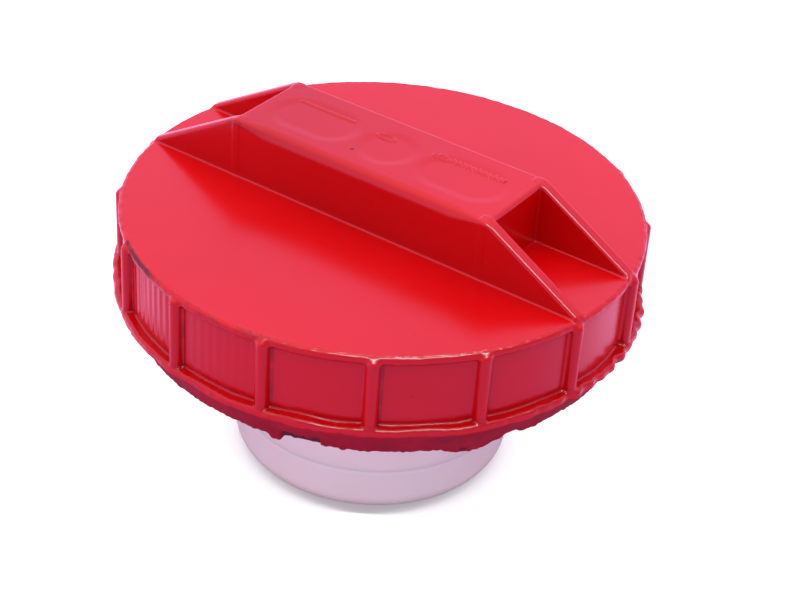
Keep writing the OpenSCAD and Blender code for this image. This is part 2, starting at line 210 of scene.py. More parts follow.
def mark_height(x, y):
    """Plain raised marks in the recesses: a line, a small ring and a row of ticks."""
    line = np.hypot(np.maximum(np.abs(x + 13.6) - 4.9, 0), y - 3.3)
    small_ring = np.abs(np.hypot((x + 2.1) * 0.8, (y - 2.7) * 1.6) - 1.1)
    left_ring = np.abs(np.hypot((x - 7.6) * 0.8, (y - 3.1) * 1.6) - 1.0)
    ticks = np.hypot(np.maximum(np.abs(x - 14.0) - 4.4, 0), (y - 3.4) * 0.75)
    ticks = ticks + 0.16 * np.cos(x * 2 * np.pi / 0.9)
    height = 0.16 * smooth_step(np.minimum(small_ring, left_ring), 0.42, 0.1)
    height = np.maximum(height, 0.15 * smooth_step(line, 0.45, 0.1))
    return np.maximum(height, 0.17 * smooth_step(ticks, 0.5, 0.15))


def outer_shell_field(x, y, z):
    """The knob's moulding."""
    r = np.hypot(x, y)
    angle = np.degrees(np.arctan2(y, x)) % 360
    height = between(z, skirt_z, disc_z)

    stripe = np.cos(np.radians(160 * angle)) * smooth_step(z, bead_top_z + 0.6, bead_top_z + 1.6)
    stripe_depth = np.where(between(angle, stripes_low, stripes_high) < 0, 0.045, 0.0)
    stripe_depth = np.where(between(angle, faint_low, faint_high) < 0, 0.015, stripe_depth)
    drum = np.maximum(r - panel_r - stripe * stripe_depth, height)
    lip = round_common(r - cap_r, between(z, disc_z - 1.35, disc_z), 0.5)
    body = round_union(drum, lip, 0.3)
    rib = pegs(r, angle, rib_count, 180 / rib_count, cap_r - 0.2, 1.0)
    rib = round_common(rib, between(z, skirt_z + 0.5, disc_z - 0.3), 0.95)
    body = round_union(body, rib, 0.45)

    swell = 0.15 * ripple(angle, (9, 14, 23), 5) - 0.12 + 0.5 * np.exp(-(((angle - 212) / 5) ** 2))
    ragged = smooth_step(np.cos(np.radians(angle - 10)), 0.8, 0.95)
    swell = swell + 0.28 * ripple(angle, (41, 59, 83), 8) * ragged
    lift = 0.12 * ripple(angle, (7, 17, 29), 6)
    bead = round_common(between(r, 37, bead_r + swell), between(z, skirt_z, bead_top_z + 0.15 + lift), 0.6)
    body = round_union(body, bead, 0.3)

    edge = (r > skirt_in_r + 1.5) & (z < disc_z + 0.2)
    if edge.any():
        ex, ey, ez = x[edge], y[edge], z[edge]
        low = smooth_step(ez, bead_top_z + 1.2, bead_top_z - 0.4)
        high = smooth_step(ez, disc_z - 1.6, disc_z - 0.9) * smooth_step(r[edge], cap_r - 1.4, cap_r - 0.6)
        rough = lumps(ex, ey, ez, 1.9, 3) * (0.13 * low + 0.04 * high)
        rough = rough + lumps(ex, ey, ez, 0.8, 4) * (0.05 * low + 0.05 * high)
        body[edge] = body[edge] + rough

    body = round_union(body, grip_bar(x, y, z, r), 0.4)

    cavity = np.maximum(r - skirt_in_r, z - ceiling_z)
    body = round_cut(body, cavity, 0.35)
    groove = np.hypot(r - skirt_in_r, z - skirt_z - 1.3) - 0.55
    body = round_cut(body, groove, 0.15)
    core_x = np.abs(np.abs(x) - 15.15) - 5.65
    core_y = np.abs(np.abs(y) - 3.2) - 2.1
    core = np.maximum(round_common(core_x, core_y, 0.5), z - bar_z + 2.3)
    body = round_cut(body, core, 0.3)
    pilot = round_common(r - 4.0, between(z, flange_z, ceiling_z + 1), 0.3)
    body = round_union(body, pilot, 0.4)
    turn = fold(angle, 6, 30)
    lug_reach = between(r * np.cos(turn), skirt_in_r - 2.7, 37.5)
    lug = np.maximum(np.abs(r * np.sin(turn)) - 1.2, lug_reach)
    lug = np.maximum(lug, between(z, flange_top_z + 0.9, ceiling_z + 1))
    return round_union(body, lug, 0.25)


def thread_field(r, angle, z):
    """The neck thread: a trapezoid ridge on a helix that fades out at both ends."""
    pitch, turns, fade = 5.0, 1.6, 0.17
    found = np.full(r.shape, 1e3, r.dtype)
    for lap in (0, 1):
        turn = angle / 360 + lap
        grow = np.clip(np.minimum(turn, turns - turn) / fade, 0, 1)
        crest = thread_root_r - 0.1 + (thread_crest_r - thread_root_r + 0.1) * grow
        offset = np.abs(z - thread_z - pitch * turn)
        flank = (offset - 0.55 - (crest - r) * 0.43) * 0.92
        ridge = round_common(flank, r - crest, 0.22)
        ridge = np.where((turn <= turns) & (crest > thread_root_r), ridge, 1e3)
        found = np.minimum(found, ridge)
    return np.maximum(found, thread_root_r - 0.5 - r)


def threaded_closure_field(x, y, z):
    """The white body: plug wall, thread, flange, ratchet ring, hub and posts."""
    r = np.hypot(x, y)
    angle = np.degrees(np.arctan2(y, x)) % 360
    outside = np.where(z < spigot_z, r - plug_r, r - thread_root_r)
    shoulder = r - plug_r + 0.3 * smooth_step(z, spigot_z - 0.3, spigot_z)
    outside = np.where(np.abs(z - spigot_z) < 0.3, shoulder, outside)
    wall = round_common(outside, between(z, seam_z, flange_z + 1), 0.04)
    wall = round_cut(wall, r - plug_in_r, 0.2)
    flange = ring_band(r, z, -1, flange_r, flange_z, flange_top_z, 0.4)
    body = round_union(wall, flange, 0.5)
    body = round_union(body, thread_field(r, angle, z), 0.25)
    body = round_union(body, ring_band(r, z, -1, 7.2, flange_z - 2.0, flange_z + 1, 0.3), 0.4)
    body = round_union(body, ring_band(r, z, -1, 10.4, flange_z + 1, ceiling_z - 2, 0.3), 0.5)
    post = round_common(pegs(r, angle, 3, 30, post_ring_r, 3.0), between(z, 18.0, flange_z + 1), 0.2)
    body = round_union(body, post, 0.5)
    tooth_share, ramp_share = (-angle % 15) / 15, 0.97
    tooth_rise = np.minimum(tooth_share / ramp_share, (1 - tooth_share) / 0.03)
    tooth_r = 26.0 + 1.6 * tooth_rise
    teeth = round_common((r - tooth_r) * 0.9, between(z, flange_top_z - 1, ratchet_z), 0.2)
    teeth = round_cut(teeth, r - 23.8, 0.2)
    body = round_union(body, teeth, 0.3)
    body = round_cut(body, np.maximum(r - 4.05, flange_z - 0.4 - z), 0.25)
    body = round_cut(body, np.maximum(pegs(r, angle, 3, 90, 14.0, 1.3), flange_z - 5 - z), 0.15)
    screw_hole = np.maximum(pegs(r, angle, 3, 30, post_ring_r, 1.15), z - 26.0)
    body = round_cut(body, screw_hole, 0.15)
    return round_cut(body, np.hypot(r - plug_in_r, z - seam_z - 1.6) - 0.55, 0.1)


def bottom_cover_field(x, y, z):
    """The white cup that closes the plug, with its snap spigot and vent holes."""
    r = np.hypot(x, y)
    angle = np.degrees(np.arctan2(y, x)) % 360
    lap = smooth_step(z, seam_z + 0.5, seam_z - 0.6)
    outside = round_common(r - plug_r - 0.07 * lap, -z, 3.5)
    outside = np.maximum(outside, z - seam_z - 0.5 * smooth_step(r, plug_r - 0.6, plug_r - 0.3))
    spigot = ring_band(r, z, plug_in_r - 1.7, plug_in_r - 0.1, seam_z - 1, seam_z + 3.2, 0.3)
    bead = np.hypot(r - plug_in_r + 0.1, z - seam_z - 1.6) - 0.4
    body = round_union(outside, round_union(spigot, bead, 0.15), 0.1)
    hollow = round_common(r - plug_r + 2.1, 1.7 - z, 2.0)
    hollow = np.maximum(hollow, z - seam_z + 1.0)
    throat = np.maximum(r - plug_in_r + 1.7, 3.0 - z)
    body = round_cut(body, np.minimum(hollow, throat), 0.25)
    return round_cut(body, pegs(r, angle, 8, 22.5, 9.0, 1.5), 0.3)


# --- Meshes ------------------------------------------------------------------


def add_mesh(name, points, faces):
    """A smooth mesh object from points in mm and an array of quads."""
    mesh = bpy.data.meshes.new(name)
    mesh.vertices.add(len(points))
    mesh.vertices.foreach_set("co", (np.asarray(points) * MM).astype(np.float32).ravel())
    mesh.loops.add(faces.size)
    mesh.loops.foreach_set("vertex_index", faces.astype(np.int32).ravel())
    mesh.polygons.add(len(faces))
    mesh.polygons.foreach_set("loop_start", np.arange(0, faces.size, faces.shape[1], dtype=np.int32))
    mesh.update(calc_edges=True)
    mesh.validate()
    mesh.polygons.foreach_set("use_smooth", np.ones(len(mesh.polygons), bool))
    piece = bpy.data.objects.new(name, mesh)
    bpy.context.scene.collection.objects.link(piece)
    return piece


def sample(field, axes, step):
    """Field values on the grid. Far from the surface a cube of points takes its middle's value."""
    side = 4
    shape = [len(axis) for axis in axes]
    values = np.empty(shape, np.float32)
    half_way = (side - 1) / 2
    cubes = [np.arange(math.ceil(len(axis) / side)) * side for axis in axes]
    middles = [axis[0] + (first + half_way) * step for axis, first in zip(axes, cubes)]
    middle = field(*(g.ravel() for g in np.meshgrid(*middles, indexing="ij")))
    middle = middle.reshape([len(m) for m in middles])
    whole = middle.repeat(side, 0).repeat(side, 1).repeat(side, 2)
    values[:] = whole[: shape[0], : shape[1], : shape[2]]
    near = np.argwhere(np.abs(middle) < side * step * 1.25)
    ticks = np.arange(side)
    local = np.stack(np.meshgrid(ticks, ticks, ticks, indexing="ij"), -1).reshape(-1, 3)
    cells = (near[:, None, :] * side + local[None]).reshape(-1, 3)
    cells = cells[(cells < np.array(shape)).all(1)]
    places = [axes[k][cells[:, k]] for k in range(3)]
    values[cells[:, 0], cells[:, 1], cells[:, 2]] = field(*places)
    return values


def slope_at(field, points, reach=0.02):
    """Field value and gradient at points."""
    value = field(*points.T)
    gradient = np.empty_like(points)
    for axis in range(3):
        moved = points.copy()
        moved[:, axis] += reach
        gradient[:, axis] = (field(*moved.T) - value) / reach
    return value, gradient


def settle(field, points, limit):
    """Moves points onto the field's surface, each by at most limit."""
    start = points.copy()
    for _ in range(2):
        value, gradient = slope_at(field, points)
        size = np.maximum((gradient**2).sum(1), 0.25)
        points = points - gradient * (value / size)[:, None]
        points = start + np.clip(points - start, -limit, limit)
    return points


def carve(name, field, low, high, step, most_faces):
    """A closed mesh of a field's surface, thinned where it is flat."""
    axes = [np.arange(low[k] - 2 * step, high[k] + 3 * step, step) + 0.0137 for k in range(3)]
    values = sample(field, axes, step)
    inside = values < 0
    count = np.zeros([n - 1 for n in inside.shape], np.int8)
    corners = [(a, b, c) for a in (0, 1) for b in (0, 1) for c in (0, 1)]
    nx, ny, nz = count.shape
    for a, b, c in corners:
        count += inside[a : a + nx, b : b + ny, c : c + nz]
    cells = np.argwhere((count > 0) & (count < 8))
    number = np.full(count.shape, -1, np.int64)
    number[tuple(cells.T)] = np.arange(len(cells))

    total, crossings = np.zeros((len(cells), 3)), np.zeros(len(cells))
    for start in corners:
        for axis in range(3):
            if start[axis]:
                continue
            end = list(start)
            end[axis] = 1
            v0 = values[tuple((cells + start).T)].astype(float)
            v1 = values[tuple((cells + end).T)].astype(float)
            crossed = (v0 < 0) != (v1 < 0)
            share = np.where(crossed, v0 / np.where(crossed, v0 - v1, 1), 0)
            place = np.tile(np.array(start, float), (len(cells), 1))
            place[:, axis] += share
            total += place * crossed[:, None]
            crossings += crossed
    origin = np.array([axis[0] for axis in axes])
    points = origin + (cells + total / crossings[:, None]) * step

    quads = []
    for axis in range(3):
        u, v = (axis + 1) % 3, (axis + 2) % 3
        ahead = np.take(inside, range(1, inside.shape[axis]), axis)
        behind = np.take(inside, range(inside.shape[axis] - 1), axis)
        for outward in (True, False):
            found = np.argwhere((behind & ~ahead) if outward else (ahead & ~behind))
            found = found[(found[:, u] > 0) & (found[:, v] > 0)]
            du, dv = np.eye(3, dtype=int)[u], np.eye(3, dtype=int)[v]
            ring = [found - du - dv, found - dv, found, found - du]
            quad = np.stack([number[tuple(c.T)] for c in ring], 1)
            quads.append(quad if outward else quad[:, ::-1])
    piece = add_mesh(name, settle(field, points, step), np.concatenate(quads))

    faces = 2 * len(piece.data.polygons)
    if faces > most_faces:
        thin = piece.modifiers.new("thin", "DECIMATE")
        thin.ratio = most_faces / faces
        bake_modifiers(piece)
        points = vertex_array(piece) / MM
        piece.data.vertices.foreach_set("co", (settle(field, points, step) * MM).astype(np.float32).ravel())
    _, normals = slope_at(field, vertex_array(piece) / MM)
    normals /= np.maximum(np.linalg.norm(normals, axis=1, keepdims=True), 1e-9)
    piece.data.polygons.foreach_set("use_smooth", np.ones(len(piece.data.polygons), bool))
    piece.data.normals_split_custom_set_from_vertices(normals.tolist())
    return piece


def vertex_array(piece):
    """The piece's vertices in metres, one a row."""
    points = np.empty(len(piece.data.vertices) * 3, np.float32)
    piece.data.vertices.foreach_get("co", points)
    return points.reshape(-1, 3).astype(float)


def bake_modifiers(piece):
    """Puts the modifiers' result into the piece's own mesh."""
    graph = bpy.context.evaluated_depsgraph_get()
    finished = bpy.data.meshes.new_from_object(piece.evaluated_get(graph))
    piece.modifiers.clear()
    piece.data = finished


def rounded_path(corners, steps=5):
    """A closed outline from (r, z, corner radius) points, each corner an arc."""
    path = []
    for i, (cr, cz, radius) in enumerate(corners):
        corner = np.array([cr, cz])
        before = np.array(corners[i - 1][:2]) - corner
        after = np.array(corners[(i + 1) % len(corners)][:2]) - corner
        if radius <= 0:
            path.append(corner)
            continue
        before, after = before / np.linalg.norm(before), after / np.linalg.norm(after)
        half = math.acos(np.clip(before @ after, -1, 1)) / 2
        reach = radius / math.tan(half)
        middle = (before + after) / np.linalg.norm(before + after) * radius / math.sin(half) + corner
        start, end = corner + before * reach - middle, corner + after * reach - middle
        for k in range(steps + 1):
            arm = start * (1 - k / steps) + end * (k / steps)
            path.append(middle + arm / np.linalg.norm(arm) * radius)
    return np.array(path)


def fill_path(path, longest):
    """The same outline with its long sides divided."""
    filled = []
    for i, point in enumerate(path):
        ahead = path[(i + 1) % len(path)]
        parts = max(1, math.ceil(np.linalg.norm(ahead - point) / longest))
        filled += [point + (ahead - point) * k / parts for k in range(parts)]
    return np.array(filled)


def revolve(name, path, turns_at, warp=None):
    """A closed ring swept by an outline of (r, z) points. turns_at lists the angles in degrees."""
    angle = np.asarray(turns_at, float)[:, None]
    r = np.tile(path[:, 0], (len(angle), 1))
    z = np.tile(path[:, 1], (len(angle), 1))
    if warp:
        r, z = warp(angle, r, z)
    a = np.radians(angle)
    points = np.stack([r * np.cos(a), r * np.sin(a), z], -1).reshape(-1, 3)
    rows, columns = len(angle), len(path)
    i, j = (g.ravel() for g in np.meshgrid(np.arange(rows), np.arange(columns), indexing="ij"))
    i1, j1 = (i + 1) % rows, (j + 1) % columns
    faces = np.stack([i * columns + j, i1 * columns + j, i1 * columns + j1, i * columns + j1], 1)
    signed = np.sum(path[:, 0] * np.roll(path[:, 1], -1) - np.roll(path[:, 0], -1) * path[:, 1])
    return add_mesh(name, points, faces if signed > 0 else faces[:, ::-1])


def even_angles(count):
    """count directions round the axis, in degrees."""
    return np.arange(count) * 360 / count


def coil(name, coil_r, wire_d, coils, low_z, high_z):
    """A compression spring with closed, ground-flat ends."""
    sides, per_turn, closed = 20, 72, 0.9
    rings = math.ceil(coils * per_turn) + 1
    wire_r = wire_d / 2
    turn = np.arange(rings) / per_turn
    active = np.clip((turn - closed) / (coils - 2 * closed), 0, 1)
    from_end = np.minimum(np.minimum(turn, closed), coils - turn) / closed
    lead = np.where(turn < coils / 2, wire_d * from_end, 2 * wire_d - wire_d * from_end)
    z = low_z + wire_r + (high_z - low_z - 3 * wire_d) * active + lead
    side = np.radians(np.arange(sides) * 360 / sides)[None]
    r = coil_r + wire_r * np.cos(side)
    height = z[:, None] + wire_r * np.sin(side)
    a = 2 * np.pi * turn[:, None]
    points = np.stack([r * np.cos(a), r * np.sin(a), height], -1).reshape(-1, 3)
    i, j = (g.ravel() for g in np.meshgrid(np.arange(rings - 1), np.arange(sides), indexing="ij"))
    j1 = (j + 1) % sides
    faces = np.stack([i * sides + j, i * sides + j1, (i + 1) * sides + j1, (i + 1) * sides + j], 1)

    middles = [points[:sides].mean(0), points[-sides:].mean(0)]
    foot_middle, top_middle, top_ring = len(points), len(points) + 1, (rings - 1) * sides
    k = np.arange(0, sides, 2)
    k1, k2 = k + 1, (k + 2) % sides
    foot_cap = np.stack([np.full(len(k), foot_middle), k2, k1, k], 1)
    top_cap = np.stack([np.full(len(k), top_middle), top_ring + k, top_ring + k1, top_ring + k2], 1)
    faces = np.concatenate([faces[:, ::-1], foot_cap, top_cap])
    return add_mesh(name, np.append(points, middles, 0), faces)


# --- Materials ---------------------------------------------------------------


def node_in(tree, kind, inputs=None, **settings):
    """A shader node. An input is either a socket to link or a value."""
    made = tree.nodes.new(kind)
    for key, value in settings.items():
        setattr(made, key, value)
    for key, value in (inputs or {}).items():
        if isinstance(value, bpy.types.NodeSocket):
            tree.links.new(value, made.inputs[key])
        else:
            made.inputs[key].default_value = value
    return made


class Surface:
    """A Principled material and the nodes that vary it over the piece.

    x, y, z and radius() are in mm in the row frame, and place is the same point in metres.
    """

    def __init__(self, name, **constants):
        self.material = bpy.data.materials.new(name)
        self.material.use_nodes = True
        self.tree = self.material.node_tree
        self.shader = self.tree.nodes["Principled BSDF"]
        for key, value in constants.items():
            self.shader.inputs[key.replace("_", " ")].default_value = value
        coordinates = node_in(self.tree, "ShaderNodeTexCoord")
        self.place = coordinates.outputs["Object"]
        inputs = {0: self.place, "Scale": 1 / MM}
        in_mm = node_in(self.tree, "ShaderNodeVectorMath", inputs, operation="SCALE").outputs[0]
        axes = node_in(self.tree, "ShaderNodeSeparateXYZ", {0: in_mm})
        self.x, self.y, self.z = axes.outputs

    def noise(self, size_mm, detail=3.0, rough=0.55, stretch=None):
        """Noise from 0 to 1 with features of the given size."""
        place = self.place
        if stretch:
            inputs = {0: place, 1: stretch}
            place = node_in(self.tree, "ShaderNodeVectorMath", inputs, operation="MULTIPLY").outputs[0]
        inputs = {"Vector": place, "Scale": 1 / (size_mm * MM), "Detail": detail, "Roughness": rough}
        return node_in(self.tree, "ShaderNodeTexNoise", inputs).outputs["Fac"]

    def math(self, operation, a, b=0.0, c=0.0):
        """One Math node."""
        return node_in(self.tree, "ShaderNodeMath", {0: a, 1: b, 2: c}, operation=operation).outputs[0]

    def ramp(self, value, low, high, out_low=0.0, out_high=1.0):
        """Smooth change from out_low to out_high as value goes from low to high."""
        inputs = {"Value": value, "From Min": low, "From Max": high, "To Min": out_low, "To Max": out_high}
        made = node_in(self.tree, "ShaderNodeMapRange", inputs, interpolation_type="SMOOTHSTEP")
        return made.outputs[0]

    def mix(self, share, a, b):
        """Colour a where share is 0 and b where it is 1."""
        inputs = {0: share, 6: a, 7: b}
        return node_in(self.tree, "ShaderNodeMix", inputs, data_type="RGBA").outputs[2]

    def radius(self):
        """Distance from the cap's axis."""
        squares = [self.math("MULTIPLY", axis, axis) for axis in (self.x, self.y)]
        return self.math("SQRT", self.math("ADD", *squares))

    def angle(self):
        """Direction round the cap's axis, in degrees from 0 to 360."""
        turn = self.math("DEGREES", self.math("ARCTAN2", self.y, self.x))
        return self.math("MODULO", self.math("ADD", turn, 360.0), 360.0)

    def near(self, value, middle, reach):
        """1 at the middle, falling to 0 at the reach."""
        return self.ramp(self.math("ABSOLUTE", self.math("SUBTRACT", value, middle)), reach, 0.35 * reach)

    def times(self, *factors):
        """The factors' product."""
        product = factors[0]
        for factor in factors[1:]:
            product = self.math("MULTIPLY", product, factor)
        return product

    def most(self, *values):
        """The largest of the values."""
        largest = values[0]
        for value in values[1:]:
            largest = self.math("MAXIMUM", largest, value)
        return largest

    def set(self, socket, value):
        """Links a varying value to one of the shader's sockets."""
        self.tree.links.new(value, self.shader.inputs[socket])

    def bump(self, *layers):
        """Bump from (height, depth in mm) layers."""
        normal = None
        for height, depth in layers:
            inputs = {"Height": height, "Strength": 1.0, "Distance": depth * MM}
            if normal:
                inputs["Normal"] = normal
            normal = node_in(self.tree, "ShaderNodeBump", inputs).outputs[0]
        self.set("Normal", normal)


def rgb(red, green, blue):
    """A linear colour for a socket."""
    return (red, green, blue, 1.0)


def glossy_red():
    """Moulded gloss, a little darker on the bar's top towards -X, with grime in its seams and on part of
    its rim, and painted shade in the corners beside the ribs under the lip and along the panels' foot above
    the bead.
    """
    s = Surface("glossy_red", IOR=1.5)
    radius, angle = s.radius(), s.angle()
    colour = s.mix(s.ramp(s.noise(30, 2), 0.1, 0.9), rgb(0.55, 0.0001, 0.0003), rgb(0.61, 0.0003, 0.0008))
    on_bar = s.ramp(s.z, bar_z - 1.5, bar_z - 0.7)
    # Darker on the bar's top, most towards its -X end.
    colour = s.mix(s.times(on_bar, s.ramp(s.x, 24, -24)), colour, rgb(0.47, 0.0003, 0.0008))

    rim = s.times(s.near(radius, cap_r - 0.18, 0.36), s.ramp(s.z, disc_z - 0.9, disc_z - 0.4))
    line = s.times(s.near(angle, 243.5, 10), s.ramp(s.noise(0.9, 2), 0.25, 0.45))
    smudge = s.times(s.near(angle, 266, 24), s.ramp(s.noise(2.4, 3), 0.46, 0.62), 0.55)
    rim_grime = s.times(rim, s.most(line, smudge, s.near(angle, 236.4, 1.3)))

    seam = s.times(s.ramp(radius, cap_r - 1.4, cap_r - 0.4), s.ramp(s.z, skirt_z + 0.65, skirt_z + 0.05))
    marked = s.most(s.near(angle, 264, 3.5), s.near(angle, 281, 6), s.near(angle, 218, 9))
    marks = s.times(marked, s.ramp(s.noise(0.9, 2), 0.4, 0.5))
    seam_grime = s.times(seam, s.most(s.ramp(s.noise(1.6, 4), 0.57, 0.64), marks))

    specks = s.ramp(s.noise(0.7, 1), 0.80, 0.83)
    # Painted shade: the corner under the lip on one flank of each rib, and the panels' foot above the bead,
    # are darkened.
    from_rib = s.math("MODULO", angle, 360 / rib_count)
    corner = s.times(s.near(from_rib, 13.1, 0.6), s.ramp(radius, cap_r - 1.1, cap_r - 0.9))
    corner = s.times(corner, s.ramp(radius, cap_r + 0.1, cap_r - 0.1))
    corner = s.times(corner, s.ramp(s.z, disc_z - 0.9, disc_z - 1.4), s.ramp(s.noise(3, 2), 0.3, 0.6))
    foot = s.times(s.near(s.z, bead_top_z + 0.4, 0.7), s.ramp(radius, cap_r - 1.1, cap_r - 0.7), 0.35)
    # Mixes in that painted shade of the rib corners and the panels' foot.
    colour = s.mix(s.times(s.most(corner, foot), 0.6), colour, rgb(0.20, 0.0001, 0.0006))

    pit = s.times(s.near(s.x, -3.9, 0.4), s.near(s.y, -3.65, 0.4), on_bar)
    grime = s.times(s.most(rim_grime, seam_grime, specks, pit), 0.85)
    s.set("Base Color", s.mix(grime, colour, rgb(0.050, 0.006, 0.008)))
    sheen = s.ramp(s.noise(12, 2), 0.2, 0.8, 0.20, 0.25)
    s.set("Roughness", s.math("ADD", sheen, s.times(grime, 0.5)))
    scratches = s.noise(0.8, 2, 0.6, (1.0, 9.0, 9.0))
    s.bump((s.noise(14, 1), 0.05), (s.noise(1.3, 2), 0.0025), (scratches, 0.0008))
    return s.material


def satin_red():
    """The duller, more mauve plastic of the retainer ring, stained and cracked in places, with painted
    shade on the notch's inner wall.
    """
    s = Surface("satin_red", IOR=1.48)
    radius, angle = s.radius(), s.angle()
    colour = s.mix(s.ramp(s.noise(6, 3), 0.2, 0.8), rgb(0.33, 0.004, 0.016), rgb(0.47, 0.009, 0.030))
    stain = s.times(s.near(angle, 315, 22), s.ramp(s.noise(2.2, 4), 0.52, 0.66), 0.5)
    colour = s.mix(stain, colour, rgb(0.16, 0.020, 0.045))

    near_seam = s.times(s.ramp(radius, 38.0, 38.8), s.ramp(s.z, skirt_z - 0.7, skirt_z - 0.1))
    cracks = s.times(near_seam, s.ramp(s.noise(1.5, 4), 0.53, 0.60))
    foot = s.times(s.ramp(s.z, band_z + 1.0, band_z + 0.1), s.ramp(s.noise(2.4, 4), 0.54, 0.66))
    # Painted shade on the notch's inner wall, below the band's edge.
    in_notch = s.near(angle, (notch_low + notch_high) / 2, 6.5)
    notch_shade = s.times(in_notch, s.ramp(radius, 37.6, 37.3), s.ramp(s.z, band_z + 2.3, band_z + 1.9))
    # grime here holds the cracks and dark foot, and also the painted shade in the notch.
    grime = s.times(s.most(cracks, foot, notch_shade), 0.85)
    s.set("Base Color", s.mix(grime, colour, rgb(0.030, 0.004, 0.008)))
    s.set("Roughness", s.ramp(s.noise(3), 0.3, 0.7, 0.30, 0.46))
    s.bump((s.noise(2.5, 3), 0.05), (s.noise(0.5, 3), 0.008))
    return s.material


def milky_white():
    """Natural polymer of the plug: slightly see-through, with a painted highlight as a lighter band along
    its seam.
    """
    s = Surface("milky_white", IOR=1.5, Subsurface_Weight=0.35, Subsurface_Scale=0.003)
    s.shader.inputs["Subsurface Radius"].default_value = (1.0, 0.7, 0.8)
    colour = s.mix(s.ramp(s.noise(14, 3), 0.2, 0.8), rgb(0.78, 0.72, 0.68), rgb(0.83, 0.77, 0.72))
    # Painted highlight: a lighter band along the seam.
    seam = s.times(s.near(s.z, seam_z, 0.45), 0.5)
    s.set("Base Color", s.mix(seam, colour, rgb(0.90, 0.86, 0.82)))
    s.set("Roughness", s.ramp(s.noise(4, 3), 0.3, 0.7, 0.34, 0.46))
    s.bump((s.noise(5, 2), 0.02), (s.noise(0.35, 3), 0.003))
    return s.material


def satin_plastic(name, colour_a, colour_b, rough):
    """Plain machined or moulded acetal, mottled between two colours."""
    s = Surface(name, IOR=1.48)
    s.set("Base Color", s.mix(s.ramp(s.noise(4, 3), 0.3, 0.7), colour_a, colour_b))
    s.set("Roughness", s.ramp(s.noise(2, 3), 0.3, 0.7, rough - 0.06, rough + 0.08))
    s.bump((s.noise(0.6, 3), 0.01))
    return s.material


def rubber():
    """Matt black seal rubber."""
    s = Surface("nitrile_rubber", IOR=1.5)
    s.set("Base Color", s.mix(s.noise(1.2, 4), rgb(0.012, 0.012, 0.013), rgb(0.035, 0.034, 0.034)))
    s.set("Roughness", s.ramp(s.noise(0.8, 3), 0.3, 0.7, 0.55, 0.75))
    s.bump((s.noise(0.3, 4), 0.015))
    return s.material


def steel(name, bright, dull, rough, grain):
    """Bare or zinc-plated steel. grain stretches the marks along the way it was worked."""
    s = Surface(name, Metallic=1.0)
    s.set("Base Color", s.mix(s.ramp(s.noise(1.5, 4), 0.3, 0.7), bright, dull))
    marks = s.noise(0.4, 3, 0.6, grain)
    s.set("Roughness", s.ramp(marks, 0.3, 0.7, rough - 0.07, rough + 0.12))
    s.bump((marks, 0.004))
    return s.material


def felt():
    """Pressed fibres of the vent filter."""
    s = Surface("pressed_felt", Roughness=0.95, IOR=1.4)
    fibres = s.noise(0.5, 6, 0.7, (1.0, 2.5, 1.0))
    s.set("Base Color", s.mix(fibres, rgb(0.42, 0.36, 0.22), rgb(0.72, 0.66, 0.50)))
    s.bump((fibres, 0.15), (s.noise(0.15, 4), 0.05))
    return s.material


def paint(piece, material):
    """Gives the whole piece one material."""
    piece.data.materials.clear()
    piece.data.materials.append(material)


# --- Pieces ------------------------------------------------------------------


def hand_over(piece, node, body, material):
    """The piece stands for a CAD node."""
    paint(piece, material)
    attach(piece, body)
    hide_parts(node)
    return piece


def make_outer_shell(material):
    """The knob's moulding, as one closed mesh."""
    step = 0.25 if FINE else 0.42
    piece = carve("knob_shell", outer_shell_field, shell_low, shell_high, step, 190000)
    return hand_over(piece, "outer_shell", "knob", material)


